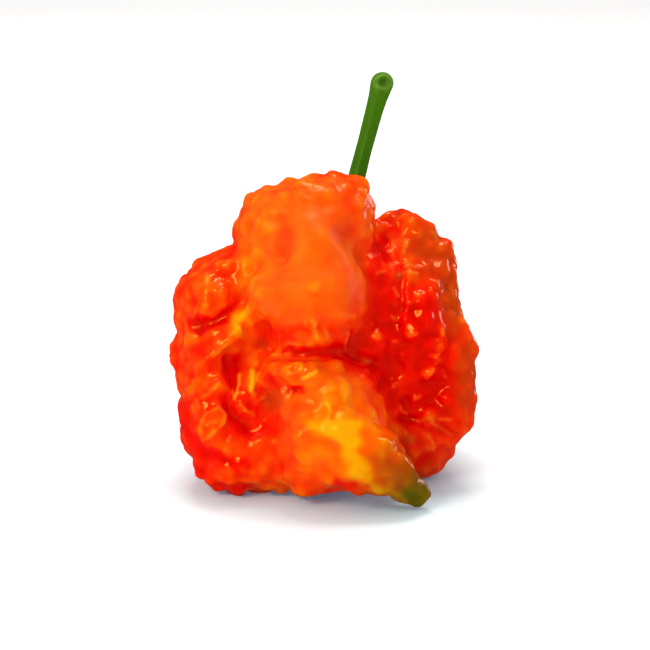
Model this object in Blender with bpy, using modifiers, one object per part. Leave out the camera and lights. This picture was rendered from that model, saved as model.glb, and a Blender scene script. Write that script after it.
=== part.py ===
# A ripe, wrinkled chilli pod with a stinger tail and a green stem, standing on its own bumps.
# Lengths are in millimetres until the last step, which writes metres.
# +X is to the right, -Y is the side with the hood and the tail, and +Z is up.

import math

import bmesh
import bpy
import numpy as np
from mathutils import Euler, Matrix, Vector, noise

METRES_PER_MM = 0.001

# The front is laid out on a plane that faces an eye in front of the pod and a little above it.
EYE_TILT = 15.0          # degrees above the horizontal
EYE_DISTANCE = 400.0
PLANE_HEIGHT = 22.8      # where the plane's middle stands above the surface

# The stem's middle line, as the four control points of a curve on that plane: (right, up, towards the
# eye). It starts where the stem meets the pod and stops at the cut end.
STEM_LINE = ((2.9, 15.8, -5.6), (5.2, 23.2, -5.3), (7.0, 31.5, -4.8), (9.1, 37.6, -3.6))
# The stem and the calyx in section: radius, and height along the stem's line.
CALYX_UNDERSIDE = ((1.2, 0.0), (2.5, 0.0), (3.8, 0.0), (4.85, 0.0))
CALYX_TOP = ((5.2, 0.25), (5.0, 0.6), (4.1, 1.1), (3.1, 1.55), (2.45, 1.75))
STEM_SIDES = ((2.35, 2.2), (1.8, 2.7), (1.45, 3.4), (1.32, 4.8), (1.27, 6.6), (1.24, 9.0), (1.22, 12.0),
              (1.25, 14.4), (1.33, 16.6), (1.46, 18.6), (1.62, 20.2), (1.76, 21.2), (1.66, 22.0),
              (1.25, 22.7), (0.65, 23.1))
STEM_END = 23.2
STEM_SEGMENTS = 30
CALYX_POINTS = 5
CALYX_POINT_SHARE = 0.07  # how far each point reaches, as a share of the radius
RIB_SHARE = 0.05
SCAR_DEPTH = 0.45        # the dished scar on the near side of the stem's swollen end
SCAR_RADIUS = 1.0
SEAT_RADIUS = 5.7        # how much of the pod is shaped to the calyx
SEAT_EDGE = 2.3          # the width over which that shape fades out
SEAT_DROOP = 0.03        # how fast the calyx droops: millimetres per square millimetre
CALYX_GAP = 0.3          # between the calyx and the pod

# Skin that would come lower than this is flat on the surface: three feet.
FOOT_DEPTH = 0.25
# The bounding box's middle comes to X = Y = 0 when everything is moved by this much.
CENTRING = (0.2, 1.0)

# Mesh sizes
VOXEL = 0.5
POD_TRIANGLES = 9000

# The pod's folds. Each has a name, how many smoothing passes melt its lobes together, and its lobes:
# where the middle is seen (right, up, towards the eye), half sizes along X, Y and Z, and a turn about Y.
FOLDS = (
    ("hood", 34, (
        ((-2.8, 15.4, 5.6), (10.2, 7.6, 6.8), 0),
        ((-9.3, 13.8, 4.0), (5.1, 6.5, 6.0), 0),
        ((4.4, 14.6, 3.0), (3.7, 5.5, 6.6), 0),
        ((2.4, 19.3, 4.4), (5.0, 4.8, 4.3), 0),
        ((-2.4, 8.6, 9.4), (6.9, 7.6, 9.0), 0),
        ((-2.3, 4.5, 10.8), (8.9, 8.6, 6.8), 0),
        ((-1.8, -1.6, 10.6), (5.8, 6.0, 2.9), 0),
        ((-9.2, 2.6, 7.4), (4.2, 4.8, 4.2), 0),
    )),
    ("brow_and_belly", 26, (
        ((-0.8, -8.2, 11.6), (8.7, 7.4, 5.2), 12),
        ((0.6, -15.8, 10.4), (9.0, 9.0, 9.0), 0),
        ((-1.4, -20.8, 9.9), (6.0, 5.2, 4.8), 0),
        ((4.6, -18.4, 12.2), (6.6, 6.2, 5.8), 0),
    )),
    ("left_side", 30, (
        ((-13.6, 6.2, 0.5), (6.5, 8.7, 5.6), 0),
        ((-11.6, 8.0, 4.8), (4.6, 5.2, 4.8), 0),
        ((-15.9, 2.0, 1.5), (6.7, 10.0, 8.4), 0),
        ((-16.4, -5.5, 1.0), (6.6, 9.5, 7.0), 0),
        ((-18.6, -1.2, 1.0), (4.2, 6.0, 3.4), 0),
        ((-17.8, -9.4, 1.5), (4.6, 6.0, 3.4), 0),
        ((-14.4, -13.8, 2.5), (7.6, 9.8, 11.0), 0),
        ((-9.0, -18.7, 3.8), (7.8, 8.3, 6.3), 0),
        ((-13.8, -19.9, 4.6), (6.0, 6.6, 5.6), 0),
    )),
    ("right_side", 30, (
        ((12.2, -1.8, -3.0), (8.8, 12.0, 15.5), 0),
        ((11.0, 12.4, -3.0), (5.2, 7.0, 5.4), 0),
        ((8.8, 14.0, -1.5), (3.8, 4.6, 3.8), 0),
        ((13.0, -14.6, -2.0), (7.3, 8.8, 8.9), 0),
    )),
    ("back_and_core", 40, (
        ((0.0, -1.5, -2.0), (15.5, 13.5, 18.0), 0),
        ((3.0, -14.5, 3.0), (9.5, 9.0, 8.5), 0),
        ((-7.6, -10.6, 6.8), (4.2, 4.6, 5.0), 0),
        ((-9.4, -2.8, 5.2), (4.0, 4.0, 4.0), 0),
        ((-9.0, -1.5, -11.0), (10.5, 9.5, 15.5), 0),
        ((8.0, -2.0, -10.5), (10.5, 9.5, 16.0), 0),
        ((-0.5, 5.0, -13.0), (8.0, 7.5, 12.5), 0),
        ((0.5, -13.0, -14.0), (8.0, 7.5, 8.0), 0),
    )),
    ("back_shoulders", 20, (
        ((-5.6, 13.6, -9.5), (6.2, 5.5, 6.4), 0),
        ((6.6, 10.6, -11.0), (5.6, 5.5, 6.0), 0),
    )),
)

# Chains of round beads that thicken an edge or draw out a horn: (right, up, towards the eye, radius).
CHAINS = (
    ("right_rim", 10, ((8.6, 14.2, -1.0, 2.7), (12.4, 13.6, 0.0, 3.4), (16.2, 10.4, 1.0, 3.5),
                       (16.6, 6.2, 2.0, 3.0), (18.1, 1.4, 2.5, 3.3), (19.3, -3.4, 2.5, 3.6),
                       (19.3, -8.4, 2.5, 3.5), (18.6, -14.1, 2.5, 3.7), (15.5, -17.3, 2.0, 3.2))),
    ("tail", 4, ((4.4, -18.6, 13.0, 6.0), (6.8, -20.2, 14.0, 4.9), (9.4, -21.9, 14.2, 3.7),
                 (12.0, -23.7, 13.4, 2.7), (13.6, -25.3, 12.7, 2.0))),
)
BEAD_STEP = 0.8
JOINT_SMOOTHING = 5      # passes over the creases where folds meet

# Creases and ridges of the front, as lines on the eye's plane: half width, depth or height, points.
# A negative height is a crease.
LINES = (
    (1.4, -1.2, ((-6.0, 14.6), (-5.9, 12.8), (-6.9, 10.4))),                  # pit left of the nose
    (0.9, -0.7, ((-6.9, 10.2), (-9.0, 8.5), (-11.3, 8.8))),
    (1.4, -0.8, ((2.2, 13.8), (3.4, 12.9), (4.6, 14.2))),                     # pit right of the nose
    (1.2, -0.4, ((3.6, 12.5), (5.0, 9.4), (5.6, 6.0))),
    (1.2, -2.0, ((-19.4, -0.2), (-16.5, 0.6), (-14.0, 1.8), (-12.2, 3.9))),   # eye-shaped dimple
    (1.1, 1.2, ((-10.0, 6.0), (-11.7, 3.0), (-13.0, 0.4), (-14.6, -2.0), (-16.5, -4.0), (-17.8, -5.6))),
    (1.3, -2.0, ((-9.4, -0.8), (-9.0, -2.6), (-10.0, -4.1), (-12.2, -5.5))),
    (0.9, 1.1, ((-10.0, -4.8), (-11.0, -7.0), (-11.0, -10.2))),
    (1.2, -1.5, ((-14.7, -4.6), (-13.6, -9.2), (-14.4, -12.6), (-11.2, -15.6))),
    (0.8, -1.5, ((-7.6, -8.2), (-5.4, -10.2), (-3.8, -9.9))),
    (0.8, -1.2, ((-8.6, -4.2), (-5.2, -4.3), (-1.5, -3.9), (3.0, -4.0), (7.4, -5.8))),
    (0.8, -1.3, ((12.4, -13.9), (15.8, -14.8), (19.2, -16.8))),
    (0.6, -0.9, ((11.1, 15.4), (10.8, 14.0), (9.5, 12.5))),
    (0.6, -0.9, ((11.7, 8.9), (11.4, 5.5), (11.4, 2.4))),
)

# Blisters of the front: right, up, radius, height.
BLISTERS = (
    (-10.2, 14.4, 1.5, 0.5), (-9.5, 12.0, 1.3, 0.6), (-10.6, 10.4, 1.2, 0.6), (-3.3, 6.9, 1.6, 0.3),
    (5.1, 17.6, 0.9, 0.4), (6.2, 13.6, 1.2, 0.6), (3.0, 1.6, 1.0, 0.4), (-7.3, 2.2, 1.0, 0.4),
    (-2.6, 1.0, 1.5, 0.5), (-15.5, 9.2, 1.0, 0.6), (-16.8, 6.8, 1.2, 0.7), (-18.3, 5.0, 1.0, 0.6),
    (-17.9, 3.2, 1.2, 0.7), (-15.0, 5.2, 1.4, 0.5), (-20.0, -3.0, 1.4, 0.6), (-20.2, -6.0, 1.1, 0.6),
    (-17.0, -7.0, 1.3, 0.7), (-19.7, -9.4, 1.3, 0.7), (-17.0, -10.2, 1.2, 0.7), (-16.9, -13.2, 1.9, 1.0),
    (-13.3, -10.6, 1.1, 0.6), (-12.6, -12.8, 1.2, 0.7), (-19.4, -12.0, 1.0, 0.6), (-5.2, -6.5, 1.3, 0.5),
    (-3.2, -7.3, 1.3, 0.4), (0.8, -11.3, 1.3, 0.5), (-0.6, -13.0, 1.0, 0.5), (3.0, -10.6, 1.2, 0.4),
    (-3.8, -16.7, 1.3, 0.4), (-8.0, -17.3, 1.4, 0.6), (-3.0, -19.6, 1.4, 0.4), (7.8, -2.9, 1.6, 0.9),
    (10.2, -4.1, 1.0, 0.7), (13.2, -1.8, 1.2, 0.8), (11.9, 1.0, 1.0, 0.6), (14.3, 3.7, 1.1, 0.6),
    (10.5, 3.8, 1.0, 0.6), (9.4, 7.5, 1.2, 0.6), (17.2, -0.8, 1.0, 0.6), (16.0, -3.0, 1.2, 0.7),
    (16.2, -5.6, 1.2, 0.7), (17.2, -7.6, 1.2, 0.7), (10.5, -9.4, 1.4, 0.8), (6.8, -8.0, 1.5, 0.7),
    (13.5, -11.6, 1.2, 0.8), (11.0, -12.5, 1.0, 0.6), (15.6, -13.4, 1.2, 0.6), (11.7, -16.8, 1.5, 0.7),
)

# Lumps that cover the skin, how far their cells are bent, and slower waves under them
LUMP_PITCH = 0.30        # cells per millimetre
LUMP_HEIGHT = 1.5
BEND_PITCH = 0.12
BEND_REACH = 2.4
WAVE_PITCH = 0.14
WAVE_HEIGHT = 0.8


def eye_axes():
    tilt = math.radians(EYE_TILT)
    right = Vector((1, 0, 0))
    up = Vector((0, math.sin(tilt), math.cos(tilt)))
    towards = Vector((0, -math.cos(tilt), math.sin(tilt)))
    return right, up, towards


def seen_at(across, up_by, nearer):
    """The point that the eye sees at (across, up_by) on the plane, nearer to it by that much."""
    right, up, towards = eye_axes()
    closing = (EYE_DISTANCE - nearer) / EYE_DISTANCE
    return Vector((0, 0, PLANE_HEIGHT)) + (right * across + up * up_by) * closing + towards * nearer


def as_seen(points):
    """Where the eye sees each point on the plane, and how much nearer than the plane it is."""
    right, up, towards = (np.array(axis) for axis in eye_axes())
    offset = points - np.array((0, 0, PLANE_HEIGHT))
    nearer = offset @ towards
    opening = EYE_DISTANCE / (EYE_DISTANCE - nearer)
    return offset @ right * opening, offset @ up * opening, nearer


def smooth_step(low, high, values):
    share = np.clip((values - low) / (high - low), 0, 1)
    return share * share * (3 - 2 * share)


def add_ball(bm, centre, half_sizes, turn_degrees=0.0, subdivisions=4):
    turn = Euler((0, math.radians(turn_degrees), 0)).to_matrix().to_4x4()
    matrix = Matrix.Translation(centre) @ turn @ Matrix.Diagonal((*half_sizes, 1))
    bmesh.ops.create_icosphere(bm, subdivisions=subdivisions, radius=1, matrix=matrix)


def add_chain(bm, points):
    for start, end in zip(points[:-1], points[1:]):
        a, b = seen_at(*start[:3]), seen_at(*end[:3])
        steps = max(1, round((b - a).length / BEAD_STEP))
        for step in range(steps + 1):
            share = step / steps
            radius = start[3] + (end[3] - start[3]) * share
            add_ball(bm, a.lerp(b, share), (radius,) * 3, subdivisions=3)


def with_modifiers(mesh, modifiers):
    """The mesh after a list of (type, settings) modifiers."""
    obj = bpy.data.objects.new("working", mesh)
    bpy.context.scene.collection.objects.link(obj)
    for kind, settings in modifiers:
        modifier = obj.modifiers.new(kind.title(), kind)
        for key, value in settings.items():
            setattr(modifier, key, value)
    graph = bpy.context.evaluated_depsgraph_get()
    result = bpy.data.meshes.new_from_object(obj.evaluated_get(graph), depsgraph=graph)
    bpy.data.objects.remove(obj)
    return result


def remeshed(mesh, smoothing):
    return with_modifiers(mesh, (
        ("REMESH", {"mode": "VOXEL", "voxel_size": VOXEL}),
        ("SMOOTH", {"factor": 0.5, "iterations": smoothing}),
    ))


def as_mesh(bm):
    mesh = bpy.data.meshes.new("working")
    bm.to_mesh(mesh)
    bm.free()
    return mesh


def fused_folds():
    """Each fold is melted on its own, and then all are fused with a sharp crease where they meet."""
    together = bmesh.new()
    for _, smoothing, lobes in FOLDS:
        bm = bmesh.new()
        for middle, half_sizes, turn in lobes:
            add_ball(bm, seen_at(*middle), half_sizes, turn)
        together.from_mesh(remeshed(as_mesh(bm), smoothing))
    for _, smoothing, points in CHAINS:
        bm = bmesh.new()
        add_chain(bm, points)
        together.from_mesh(remeshed(as_mesh(bm), smoothing))
    return remeshed(as_mesh(together), JOINT_SMOOTHING)


def vectors_of(mesh, collection, key):
    values = np.empty(len(mesh.vertices) * 3)
    collection.foreach_get(key, values)
    return values.reshape(-1, 3)


def set_places(mesh, places):
    mesh.vertices.foreach_set("co", places.ravel())
    mesh.update()


def distance_to_line(across, up_by, points):
    """How far each place on the eye's plane is from a line through points."""
    places = np.stack((across, up_by), axis=1)
    nearest = np.full(len(places), np.inf)
    for start, end in zip(points[:-1], points[1:]):
        a, b = np.array(start), np.array(end)
        share = np.clip((places - a) @ (b - a) / ((b - a) @ (b - a)), 0, 1)
        nearest = np.minimum(nearest, np.linalg.norm(places - a - share[:, None] * (b - a), axis=1))
    return nearest


def front_relief(places, facing):
    across, up_by, nearer = as_seen(places)
    height = np.zeros(len(places))
    for half_width, rise, points in LINES:
        height += rise * np.exp(-(distance_to_line(across, up_by, points) / half_width) ** 2)
    for right, up, radius, rise in BLISTERS:
        away = np.hypot(across - right, up_by - up) / radius
        height += rise * np.exp(-away ** 2 * 1.2)
    front = smooth_step(0.0, 0.35, facing) * smooth_step(-5.0, -1.0, nearer)
    return height * front


def bending(spot):
    return Vector([noise.noise(spot + Vector(offset)) for offset in ((0, 0, 0), (31, 7, 0), (3, 57, 11))])


def skin_relief(places):
    """Soft lumps all over, weaker on the smooth hood."""
    across, up_by, nearer = as_seen(places)
    hood = np.exp(-((across + 2.3) / 9.0) ** 4 - ((up_by - 9.5) / 11.0) ** 4) * smooth_step(4, 8, nearer)
    amount = 1.0 - 0.85 * hood
    heights = np.empty(len(places))
    for index, place in enumerate(places):
        spot = Vector(place)
        bent = spot + bending(spot * BEND_PITCH) * BEND_REACH
        lump = 0.45 - noise.voronoi(bent * LUMP_PITCH)[0][0]
        heights[index] = lump * LUMP_HEIGHT + noise.noise(spot * WAVE_PITCH) * WAVE_HEIGHT
    return amount * heights


def displaced(mesh):
    places = vectors_of(mesh, mesh.vertices, "co")
    outward = vectors_of(mesh, mesh.vertex_normals, "vector")
    facing = outward @ np.array(eye_axes()[2])
    height = front_relief(places, facing) + skin_relief(places)
    set_places(mesh, places + outward * height[:, None])
    return mesh


def stem_place(share):
    """The point on the stem's middle line at this share of the way along its control points."""
    points = [seen_at(*point) for point in STEM_LINE]
    while len(points) > 1:
        points = [start.lerp(end, share) for start, end in zip(points[:-1], points[1:])]
    return points[0]


def stem_direction(share):
    return (stem_place(share + 0.01) - stem_place(share - 0.01)).normalized()


def from_seat(places):
    """Each place's distance from the stem's first stretch, and its height along it."""
    foot, along = np.array(stem_place(0)), np.array(stem_direction(0))
    offset = places - foot
    height = offset @ along
    return np.linalg.norm(offset - height[:, None] * along, axis=1), height, along


def seat_calyx(mesh):
    """Shapes the top of the pod to the underside of the calyx."""
    places = vectors_of(mesh, mesh.vertices, "co")
    radius, height, along = from_seat(places)
    wanted = -SEAT_DROOP * radius ** 2
    share = 1 - smooth_step(SEAT_RADIUS, SEAT_RADIUS + SEAT_EDGE, radius)
    share[height < -12] = 0
    places += along * ((wanted - height) * share)[:, None]
    set_places(mesh, places)


def stand_on_surface(mesh):
    places = vectors_of(mesh, mesh.vertices, "co")
    places[places[:, 2] < FOOT_DEPTH, 2] = 0
    set_places(mesh, places)


def build_pod():
    mesh = displaced(fused_folds())
    seat_calyx(mesh)
    mesh = remeshed(mesh, 1)
    stand_on_surface(mesh)
    mesh.calc_loop_triangles()
    ratio = POD_TRIANGLES / len(mesh.loop_triangles)
    mesh = with_modifiers(mesh, (("DECIMATE", {"ratio": ratio}), ("TRIANGULATE", {})))
    seat_calyx(mesh)
    stand_on_surface(mesh)
    return mesh


def turned_profile(profile, segments):
    """A solid of revolution about +Z from (radius, height) points that start and end on the axis."""
    bm = bmesh.new()
    corners = [bm.verts.new((radius, 0, height)) for radius, height in profile]
    for start, end in zip(corners[:-1], corners[1:]):
        bm.edges.new((start, end))
    return with_modifiers(as_mesh(bm), (
        ("SCREW", {"steps": segments, "render_steps": segments, "use_merge_vertices": True,
                   "merge_threshold": 0.0001, "use_normal_calculate": True}),
        ("TRIANGULATE", {}),
    ))


def stem_section(place):
    """A place on the turned stem after the calyx's points, the ribs and the scar are shaped."""
    radius, turn = math.hypot(place.x, place.y), math.atan2(place.y, place.x)
    calyx = smooth_step(2.2, 4.6, radius)
    point = math.cos(CALYX_POINTS * turn)
    rib = math.cos(CALYX_POINTS * turn + 0.4) * smooth_step(2.0, 6.0, place.z)
    radius *= 1 + CALYX_POINT_SHARE * point * calyx + RIB_SHARE * rib * (1 - calyx)
    height = place.z + CALYX_GAP - SEAT_DROOP * radius ** 2
    return Vector((radius * math.cos(turn), radius * math.sin(turn), height))


def build_stem():
    profile = ((0.0, 0.0), *CALYX_UNDERSIDE, *CALYX_TOP, *STEM_SIDES, (0.0, STEM_END))
    mesh = turned_profile(profile, STEM_SEGMENTS)
    towards = eye_axes()[2]
    scar = stem_place(0.955) + towards * 1.6
    for vertex in mesh.vertices:
        place = stem_section(vertex.co)
        share = min(place.z / STEM_END, 1.0)
        beyond = place.z - share * STEM_END
        along = stem_direction(share if share > 0.1 else 0)
        turn = along.to_track_quat("Z", "Y")
        centre = stem_place(max(share, 0)) + along * (beyond + min(share, 0) * STEM_END)
        spot = centre + turn @ Vector((place.x, place.y, 0))
        dish = math.exp(-((spot - scar).length / SCAR_RADIUS) ** 2)
        vertex.co = spot - towards * SCAR_DEPTH * dish
    return mesh


def material_of(name, colour, roughness):
    material = bpy.data.materials.new(name)
    material.use_nodes = True
    shader = material.node_tree.nodes["Principled BSDF"]
    shader.inputs["Base Color"].default_value = (*colour, 1)
    shader.inputs["Roughness"].default_value = roughness
    shader.inputs["Metallic"].default_value = 0
    return material


def add_part(name, mesh, material):
    mesh.transform(Matrix.Scale(METRES_PER_MM, 4) @ Matrix.Translation((*CENTRING, 0)))
    mesh.polygons.foreach_set("use_smooth", [True] * len(mesh.polygons))
    mesh.materials.append(material)
    mesh.name = name
    obj = bpy.data.objects.new(name, mesh)
    parts.objects.link(obj)


for old in list(bpy.data.objects):
    bpy.data.objects.remove(old)
parts = bpy.data.collections.new("wrinkled_chilli_pod")
bpy.context.scene.collection.children.link(parts)
add_part("pod", build_pod(), material_of("pod_skin", (0.86, 0.10, 0.01), 0.25))
add_part("stem_and_calyx", build_stem(), material_of("stem_green", (0.08, 0.22, 0.03), 0.45))
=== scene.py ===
# A ripe, wrinkled chilli pod with a stinger tail and a green stem: its skin, its stem and the studio.
# Shapes are worked out in millimetres and end in metres. +X is right, -Y is the hooded side, +Z is up.
import math

import bmesh
import bpy
import numpy as np
from mathutils import Euler, Matrix, Vector, noise


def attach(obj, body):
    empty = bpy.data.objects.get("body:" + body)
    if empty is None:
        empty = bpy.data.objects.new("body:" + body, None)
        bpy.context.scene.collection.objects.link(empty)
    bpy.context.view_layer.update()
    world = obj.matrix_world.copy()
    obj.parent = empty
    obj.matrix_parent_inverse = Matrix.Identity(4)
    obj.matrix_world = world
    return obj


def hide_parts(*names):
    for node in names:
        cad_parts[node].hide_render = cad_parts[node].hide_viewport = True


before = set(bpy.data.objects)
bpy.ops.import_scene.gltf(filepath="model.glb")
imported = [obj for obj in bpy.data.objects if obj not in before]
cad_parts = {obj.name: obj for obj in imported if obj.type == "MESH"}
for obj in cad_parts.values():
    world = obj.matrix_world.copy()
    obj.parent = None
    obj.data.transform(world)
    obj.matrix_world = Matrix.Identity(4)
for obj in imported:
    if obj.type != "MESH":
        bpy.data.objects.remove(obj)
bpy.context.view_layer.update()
print("solids:", ", ".join(sorted(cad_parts)))

# The front is laid out on a plane that faces the eye. Places on it are (right, up) from its middle.
eye = {"tilt": 15.0, "distance": 400.0, "planeHeight": 22.8, "centring": (0.2, 1.0)}
millimetre = 0.001
intoMetres = Matrix.Scale(millimetre, 4) @ Matrix.Translation((*eye["centring"], 0))


def eyeAxes():
    tilt = math.radians(eye["tilt"])
    return (Vector((1, 0, 0)), Vector((0, math.sin(tilt), math.cos(tilt))),
            Vector((0, -math.cos(tilt), math.sin(tilt))))


def seenAt(across, upBy, nearer):
    right, up, towards = eyeAxes()
    closing = (eye["distance"] - nearer) / eye["distance"]
    return Vector((0, 0, eye["planeHeight"])) + (right * across + up * upBy) * closing + towards * nearer


def asSeen(places):
    right, up, towards = (np.array(axis) for axis in eyeAxes())
    offset = places - np.array((0, 0, eye["planeHeight"]))
    nearer = offset @ towards
    opening = eye["distance"] / (eye["distance"] - nearer)
    return offset @ right * opening, offset @ up * opening, nearer


def smoothStep(low, high, values):
    share = np.clip((values - low) / (high - low), 0, 1)
    return share * share * (3 - 2 * share)


# from each place of the front to a point or to a line of points
def lineDistance(across, upBy, line):
    places, points = np.stack((across, upBy), axis=1), np.atleast_2d(line)
    if len(points) == 1:
        return np.linalg.norm(places - points[0], axis=1)
    nearest = np.full(len(places), np.inf)
    for a, b in zip(points[:-1], points[1:]):
        share = np.clip((places - a) @ (b - a) / ((b - a) @ (b - a)), 0, 1)
        nearest = np.minimum(nearest, np.linalg.norm(places - a - share[:, None] * (b - a), axis=1))
    return nearest


# how far inside an oval of the front: its middle, its half sizes, and where its edge starts and ends
def ovalShare(across, upBy, oval):
    (right, up), (halfAcross, halfUp), edge = oval
    return 1 - smoothStep(*edge, np.hypot((across - right) / halfAcross, (upBy - up) / halfUp))


# 1 on skin that faces the eye and lies near enough to it: limits of the facing and of the depth
def frontShare(facing, nearer, limits):
    return smoothStep(*limits[0], facing) * smoothStep(*limits[1], nearer)


def noiseOver(places, pitch, offset=(0, 0, 0)):
    return np.array([noise.noise(Vector(place) * pitch + Vector(offset)) for place in places])


# mesh helpers
def placesOf(mesh):
    values = np.empty(len(mesh.vertices) * 3)
    mesh.vertices.foreach_get("co", values)
    return values.reshape(-1, 3)


def outwardOf(mesh):
    values = np.empty(len(mesh.vertices) * 3)
    mesh.vertex_normals.foreach_get("vector", values)
    return values.reshape(-1, 3)


def setPlaces(mesh, places):
    mesh.vertices.foreach_set("co", places.ravel())
    mesh.update()


def setAttributes(mesh, **shares):
    for name, values in shares.items():
        attribute = mesh.attributes.new(name, "FLOAT", "POINT")
        attribute.data.foreach_set("value", np.asarray(values, dtype=np.float32))


def readAttribute(mesh, name):
    values = np.empty(len(mesh.vertices), dtype=np.float32)
    mesh.attributes[name].data.foreach_get("value", values)
    return values.astype(float)


def asMesh(bm):
    mesh = bpy.data.meshes.new("working")
    bm.to_mesh(mesh)
    bm.free()
    return mesh


def linked(name, data):
    obj = bpy.data.objects.new(name, data)
    bpy.context.scene.collection.objects.link(obj)
    return obj


def plainMesh(obj):
    graph = bpy.context.evaluated_depsgraph_get()
    mesh = bpy.data.meshes.new_from_object(obj.evaluated_get(graph), depsgraph=graph)
    bpy.data.objects.remove(obj)
    return mesh


def withModifiers(mesh, *modifiers):
    obj = linked("working", mesh)
    for kind, settings in modifiers:
        modifier = obj.modifiers.new(kind.title(), kind)
        for key, value in settings.items():
            setattr(modifier, key, value)
    return plainMesh(obj)


def remeshed(mesh, voxel, smoothing):
    return withModifiers(mesh, ("REMESH", {"mode": "VOXEL", "voxel_size": voxel}),
                         ("SMOOTH", {"factor": 0.5, "iterations": smoothing}))


# node helpers: an input takes a number, a colour or another node's output
def feed(tree, value, socket):
    if isinstance(value, bpy.types.NodeSocket):
        tree.links.new(value, socket)
    elif socket.type == "RGBA":
        socket.default_value = (*value, 1)
    else:
        socket.default_value = value


def addNode(tree, kind, inputs=None, **settings):
    node = tree.nodes.new(kind)
    for key, value in settings.items():
        setattr(node, key, value)
    for key, value in (inputs or {}).items():
        feed(tree, value, node.inputs[key])
    return node


def mathNode(tree, operation, a, b=0.0, clamp=False):
    return addNode(tree, "ShaderNodeMath", {0: a, 1: b}, operation=operation, use_clamp=clamp).outputs[0]


noiseMiddle = 0.5  # the mean of a noise node


# gain times (value less middle)
def spreadNode(tree, value, middle, gain, clamp=False):
    return mathNode(tree, "MULTIPLY", mathNode(tree, "SUBTRACT", value, middle), gain, clamp)


def mixColour(tree, share, a, b, blend="MIX"):
    inputs = {"Factor": share, "A": a, "B": b}
    return addNode(tree, "ShaderNodeMix", inputs, data_type="RGBA", blend_type=blend).outputs["Result"]


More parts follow.
